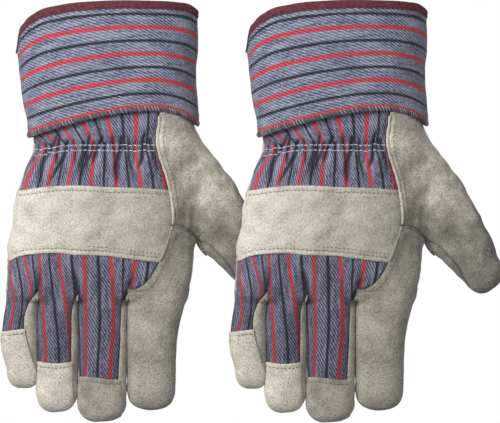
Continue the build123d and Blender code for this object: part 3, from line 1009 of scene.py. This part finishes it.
def canvas(name, light, dark, streak, fade):
    """Striped twill: blue and white yarns with red and black stripes."""
    n = Nodes(name, {"Roughness": 0.92, "Sheen Weight": 0.08})
    u, v, uv = n.cloth()

    def streaks(scale_u, scale_v):
        stretched = n.node("Mapping", {"Vector": uv, "Scale": (scale_u, scale_v, 1.0)})
        return n.noise(stretched.outputs[0], 1.0, 3.0, 0.6)

    shade, patch = streaks(0.75, 0.06), streaks(0.16, 0.05)
    across = n.math("MULTIPLY_ADD", u, 0.86, n.times(v, 0.5))
    along = n.math("MULTIPLY_ADD", u, -0.5, n.times(v, 0.86))
    grain = n.node("CombineXYZ", {0: n.times(across, 1.1), 1: n.times(along, 0.42)})
    fine = n.noise(grain.outputs[0], 1.0, 3.0, 0.7)
    drift = n.times(n.minus(fine, 0.5), 1.3)
    twill_phase = n.plus(n.times(across, 0.84), drift)
    saw = n.math("FRACT", n.times(twill_phase, 1 / TWILL_PITCH))
    ridge = n.math("SINE", n.times(saw, math.pi))
    wobble = n.plus(n.times(n.minus(saw, 0.5), 0.9), drift)
    place = n.math("FRACT", n.math("DIVIDE", n.plus(u, wobble), STRIPE_PITCH))
    from_red = n.math("ABSOLUTE", n.minus(n.math("FRACT", n.plus(place, 0.5)), 0.5))
    from_black = n.math("ABSOLUTE", n.minus(place, 0.51))
    mottle = n.math("MULTIPLY_ADD", shade, 0.6, n.times(patch, 0.4))
    ground = n.ramp(mottle, (0.4, streak), (0.5, dark), (0.6, light))
    fleck = n.smooth(n.times(n.math("MULTIPLY_ADD", ridge, 0.6, 0.4), fine), 0.3, 0.62)
    ground = n.mix(n.times(fleck, 0.68), ground, (166, 169, 188))
    ground = n.mix(n.times(n.minus(1.0, ridge), 0.5), ground, (36, 37, 54))
    # Darker towards the fingers, with an uneven front
    uneven_tone = n.faded(patch, 1, fade)
    red = n.mix(n.times(ridge, 0.85), (112, 34, 48), (206, 74, 84))
    black = n.mix(n.times(ridge, 0.5), (20, 20, 26), (70, 72, 80))
    is_red = n.math("LESS_THAN", from_red, RED_HALF / STRIPE_PITCH)
    is_black = n.math("LESS_THAN", from_black, BLACK_HALF / STRIPE_PITCH)
    color = n.mix(1.0, n.mix(is_red, n.mix(is_black, ground, black), red), uneven_tone, "MULTIPLY")
    # Painted shade in the creases, the crotch folds and by the seams
    color = n.mix(n.times(n.fold(0.05, 0.85), 0.82), color, (18, 18, 28))
    height = n.plus(ridge, n.times(fine, 0.8))
    return n.finish(color, height, 0.6, 0.0005)


def woven(name, light, dark, pitch, roughness=0.9):
    """Plain close weave: tape, cotton or thread."""
    n = Nodes(name, {"Roughness": roughness})
    u, v, _ = n.cloth()
    weft = n.math("SINE", n.times(u, 2 * math.pi / pitch))
    warp = n.math("SINE", n.times(v, 2 * math.pi / pitch))
    rib = n.times(weft, warp)
    uneven_tone = n.noise(n.rest(), 0.5, 3.0, 0.6)
    color = n.ramp(n.plus(n.times(rib, 0.18), uneven_tone), (0.3, dark), (0.7, light))
    return n.finish(color, rib, 0.4, 0.0003)


def thread(name, light, dark):
    """Twisted sewing thread."""
    n = Nodes(name, {"Roughness": 0.8})
    u, v, _ = n.cloth()
    twist = n.math("SINE", n.plus(n.times(u, 7.0), n.times(v, 2 * math.pi)))
    color = n.mix(n.math("MULTIPLY_ADD", twist, 0.35, 0.5), dark, light)
    return n.finish(color, twist, 0.5, 0.0002)


def make_materials():
    """Every material by name. Colours are light, middle and dark; a fade is (place, grey) along an axis, on
    the leathers painted shade.
    """
    return {
        "palm_leather": leather("palm_leather", (212, 207, 196), (198, 193, 182), (174, 169, 158)),
        # A darker copy of the palm leather: painted shade on the finger fronts and their side walls
        "shaded_wall_leather": leather("shaded_wall_leather", (186, 181, 171), (174, 169, 159), (152, 147, 138)),
        # Painted light and shade: lighter on the left of the strap, darker on the right
        "strap_leather": leather("strap_leather", (236, 231, 221), (224, 219, 209), (200, 195, 184), 0.7,
                                 ((-55, 236), (-15, 218), (15, 205), (48, 180)), axis=0),
        # Painted shade: darker towards the fingertip, lighter towards the cuff
        "index_leather": leather("index_leather", (224, 219, 207), (208, 203, 191), (180, 175, 163), 0.85,
                                 ((-130, 178), (-80, 190), (-48, 192), (-28, 178), (-8, 190), (18, 216),
                                  (48, 244))),
        # Painted shade: darker down the thumb towards its tip
        "thumb_leather": leather("thumb_leather", (224, 219, 207), (208, 203, 191), (180, 175, 163), 0.85,
                                 ((-60, 134), (-25, 152), (-5, 190), (15, 226), (45, 252))),
        "dark_leather": leather("dark_leather", (173, 168, 158), (156, 151, 142), (132, 127, 118)),
        "striped_canvas": canvas("striped_canvas", (126, 125, 142), (88, 86, 108), (54, 50, 72),
                                 ((-120, 200), (-70, 200), (-45, 228), (0, 246), (60, 252))),
        "cuff_canvas": canvas("cuff_canvas", (136, 141, 152), (98, 105, 124), (66, 70, 94),
                              ((40, 244), (100, 246))),
        "binding_tape": woven("binding_tape", (104, 54, 62), (66, 30, 38), 0.9),
        "hem_oversewing": woven("hem_cloth", (84, 80, 90), (50, 48, 58), 1.1),
        "hem_grey": thread("hem_grey", (158, 156, 162), (100, 98, 106)),
        "hem_beige": thread("hem_beige", (124, 108, 110), (74, 62, 68)),
        "cuff_rubber": woven("cuff_rubber", (214, 208, 194), (188, 181, 166), 1.6, 0.75),
        "cotton_lining": woven("cotton_lining", (228, 224, 214), (206, 201, 190), 1.2),
        "elastic": woven("elastic", (232, 232, 228), (206, 206, 202), 1.0),
        "white_thread": thread("white_thread", (204, 207, 216), (150, 153, 168)),
        "dark_thread": thread("dark_thread", (132, 125, 110), (78, 72, 61)),
        "maroon_thread": thread("maroon_thread", (92, 46, 54), (58, 26, 34)),
    }


# ---- Putting the pieces into the scene ----
def glove_place(which):
    """The glove's frame in the CAD frame, from the little finger's hinge."""
    joint = next(j for j in frame["joints"] if j["name"] == f"{which}_pinky_bend")
    axis = Vector(joint["axis"])
    turn = Matrix.Rotation(math.atan2(-axis.z, axis.x), 4, "Y")
    origin = Vector(joint["pos_m"]) - turn @ (Vector((-51.0, CROTCH_Y, 0)) * MM)
    return Matrix.Translation(origin) @ turn


def add(name, data):
    obj = bpy.data.objects.new(name, data)
    bpy.context.scene.collection.objects.link(obj)
    return obj


def add_piece(name, piece, matrix, material):
    mesh = bpy.data.meshes.new(name)
    turn = np.array(matrix.to_3x3())
    upright = piece.points * MM  # a soft glove on a slope does not lean with it
    upright[:, 0] -= (upright[:, 2] - LEAN_HEIGHT * MM) * turn[0, 2] / turn[0, 0]
    world = upright @ turn.T + np.array(matrix.translation)
    mesh.from_pydata(world.tolist(), [], piece.faces)
    rest = mesh.attributes.new("rest", "FLOAT_VECTOR", "POINT")
    rest.data.foreach_set("vector", piece.rest.astype(np.float32).ravel())
    # Painted shade of each point, which the materials mix in
    fold = mesh.attributes.new("fold", "FLOAT", "POINT")
    fold.data.foreach_set("value", piece.fold.astype(np.float32))
    corners = np.empty(len(mesh.loops), np.int32)
    mesh.loops.foreach_get("vertex_index", corners)
    uv = mesh.uv_layers.new(name="cloth")
    uv.data.foreach_set("uv", piece.cloth[corners].astype(np.float32).ravel())
    mesh.polygons.foreach_set("use_smooth", np.ones(len(mesh.polygons), bool))
    mesh.set_sharp_from_angle(angle=math.radians(52))
    mesh.materials.append(material)
    mesh.update()
    return add(name, mesh)


def attach(obj, which, part):
    """Rides on the hand, or keeps its place baked into its mesh."""
    if part == "hand":
        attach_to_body(obj, f"{which}_hand")
        return
    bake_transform(obj)


SLOTS = {"safety_cuff": "striped_canvas", "cuff_lining": "cuff_rubber", "cuff_binding": "binding_tape",
         "cuff_hem": "hem_oversewing", "back_panel": "striped_canvas", "wrist_elastic": "elastic",
         "knuckle_strap": "strap_leather", "index_patch": "index_leather", "thumb_saddle": "index_leather",
         "side_welt": "palm_leather", "palm": "palm_leather", "palm_lining": "cotton_lining"}


# The darker finger fronts and the thumb's fading leather carry painted shade
SPECIAL = {"safety_cuff": "cuff_canvas", "middle_cap": "dark_leather", "thumb_saddle": "thumb_leather",
           "thumb_back": "thumb_leather", "thumb_front": "thumb_leather", "pinky_front": "shaded_wall_leather",
           "ring_front": "shaded_wall_leather", "middle_front": "shaded_wall_leather"}  # looks that differ within a slot


def slot_of(node):
    if node in SLOTS:
        return SLOTS[node]
    stall, side = node.split("_")
    if side == "back" and stall in CAP_START:
        return "striped_canvas"
    return "index_leather" if stall in ("index", "thumb") else "palm_leather"


def seam_tube(top, xy, radius, lift, step=1.2):
    """Rolled leather edge that follows a seam seen from above."""
    points, ups = seated(top, resample(xy, step), lift)
    size = radius * (1 + 0.12 * np.sin(np.arange(len(points)) * 0.9))
    return sweep(points, size, 8, ups, squash=0.8)


forms = make_forms()
nodes = make_hand(forms["hand"])
nodes.update(make_stalls(forms))
nodes.update(make_cuff())

# Rolled edges and stitches of the hand, seated on the finished pieces
hand_top = Top(*(nodes[n] for n in ("back_panel", "knuckle_strap", "thumb_saddle", "index_patch")))
nodes["side_welt"] = seam_tube(hand_top, along_curve(SADDLE_SEAM, -8, 62, 0.2, swap=True), 1.1, 0.3)
nodes["index_patch"] = joined([
    nodes["index_patch"],
    seam_tube(hand_top, along_curve(PATCH_SEAM, -49.6, -9, swap=True), 0.95, 0.25),
    seam_tube(hand_top, along_curve(THUMB_SEAM, 47.2, 59.0), 0.8, 0.1)])
details = []  # name, piece, material, slot, part


def detail(name, piece, material, slot, part="hand"):
    """A small piece of each glove that stands for no CAD node."""
    details.append((name, piece, material, slot, part))


strap_rows = [along_curve(STRAP_TOP, -53, 43.5, -STRAP_ROW), along_curve(STRAP_BOTTOM, -54, 37.0, STRAP_ROW),
              along_curve(STRAP_BOTTOM, -8, 39.0, STRAP_ROW + 2.5)]
detail("strap_stitching", joined([stitches(hand_top, row, 2.7, 1.35, 0.3) for row in strap_rows]),
       "dark_thread", "strap_leather")
patch_row = along_curve(PATCH_SEAM, -49.4, -12, PATCH_ROW, swap=True)
detail("patch_stitching", stitches(hand_top, patch_row, 2.7, 1.2, 0.28), "dark_thread", "index_leather")
saddle_row = along_curve(SADDLE_SEAM, -4, 56, SADDLE_ROW, swap=True)
detail("saddle_stitching", stitches(hand_top, saddle_row, 3.0, 1.3, 0.26), "dark_thread", "index_leather")
xs = np.linspace(-42.0, 36.2, 60)
elastic_rows = [np.stack([xs, y - 3.2 * smoothstep(-xs, 18, 44)], axis=1) for y in (43.0, 39.4)]
detail("elastic_stitching", joined([stitches(hand_top, row, 2.9, 2.2, 0.34, lift=0.15, jitter=0.22)
                                    for row in elastic_rows]), "white_thread", "elastic")
for name, start in CAP_START.items():
    top = Top(nodes[f"{name}_cap"])
    x, y = STALLS[name]["root"]
    wide = STALLS[name]["rows"][-1][2]
    xs = np.linspace(x - wide + 1.5, x + wide - 3.0, 30)
    row = np.stack([xs, y - start - CAP_ROW - cap_sway(xs)], axis=1)
    detail(f"{name}_stitching", stitches(top, row, 2.5, 1.3, 0.3), "dark_thread", "palm_leather", name)
strokes = hem_strokes()
detail("hem_overcast_grey", strokes[0], "hem_grey", "hem_oversewing")
detail("hem_overcast_beige", strokes[1], "hem_beige", "hem_oversewing")
binding_row = cuff_row(1 - (BINDING - 1.3) / CUFF_CLOTH, 1.9, 1.1, 0.22, 0.12)
detail("binding_stitching", binding_row, "maroon_thread", "binding_tape")
hem_row = cuff_row((HEM + 3.4) / CUFF_CLOTH, 1.9, 1.2, 0.24, CANVAS_FACE - 0.05)
detail("hem_stitching", hem_row, "hem_grey", "hem_oversewing")

materials = make_materials()
for which in GLOVES:
    matrix = glove_place(which)
    for node, piece in nodes.items():
        part = node.split("_")[0]
        part = part if part in STALLS and node not in SLOTS else "hand"
        slot = slot_of(node)
        material = materials[SPECIAL.get(node, slot)]
        obj = add_piece(f"{which}_{node}_sewn", piece, matrix, material)
        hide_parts(f"{which}_{node}")
        attach(obj, which, part)
    for name, piece, material, slot, part in details:
        obj = add_piece(f"{which}_{name}", piece, matrix, materials[material])
        attach(obj, which, part)


# ---- Floor, light and camera ----
FLOOR_SIZE = 6.0
CAMERA_LENS, SENSOR = 400.0, 36.0  # a long lens, as the gloves show almost no perspective
VIEW_WIDTH, VIEW_X, VIEW_Z = 0.3225, -0.0013, 0.02  # what the camera frames, in metres at height VIEW_Z


def make_floor():
    """White backdrop that glows, so no shadow shows on it, and that sends no light to the gloves."""
    mesh = bpy.data.meshes.new("floor")
    corners = [(x * FLOOR_SIZE / 2, y * FLOOR_SIZE / 2, 0) for x, y in ((-1, -1), (1, -1), (1, 1), (-1, 1))]
    mesh.from_pydata(corners, [], [(0, 1, 2, 3)])
    floor = add("floor", mesh)
    material = bpy.data.materials.new("floor_white")
    material.use_nodes = True
    shader = material.node_tree.nodes["Principled BSDF"]
    shader.inputs["Base Color"].default_value = (0, 0, 0, 1)
    shader.inputs["Roughness"].default_value = 1.0
    shader.inputs["Specular IOR Level"].default_value = 0.0
    shader.inputs["Emission Color"].default_value = (1, 1, 1, 1)
    shader.inputs["Emission Strength"].default_value = 1.0
    mesh.materials.append(material)
    floor.visible_diffuse = False


def area_light(name, position, size, power):
    light = bpy.data.lights.new(name, "AREA")
    light.energy, light.size = power, size
    obj = add(name, light)
    obj.location = position
    obj.rotation_euler = (-Vector(position)).to_track_quat("-Z", "Y").to_euler()


make_floor()
area_light("key", (-1.0, 0.5, 1.25), 0.6, 33)
area_light("top", (0.4, 0.45, 1.7), 0.9, 12)
world = bpy.data.worlds.new("studio")
bpy.context.scene.world = world
world.use_nodes = True
background = world.node_tree.nodes["Background"]
background.inputs["Color"].default_value = (1, 1, 1, 1)
background.inputs["Strength"].default_value = 0.27
bpy.context.scene.view_settings.view_transform = "Standard"

camera_data = bpy.data.cameras.new("camera")
camera_data.lens, camera_data.sensor_width = CAMERA_LENS, SENSOR
camera_data.clip_end = 20
camera = add("camera", camera_data)
camera.location = (VIEW_X, 0.0, VIEW_Z + VIEW_WIDTH * CAMERA_LENS / SENSOR)
bpy.context.scene.camera = camera
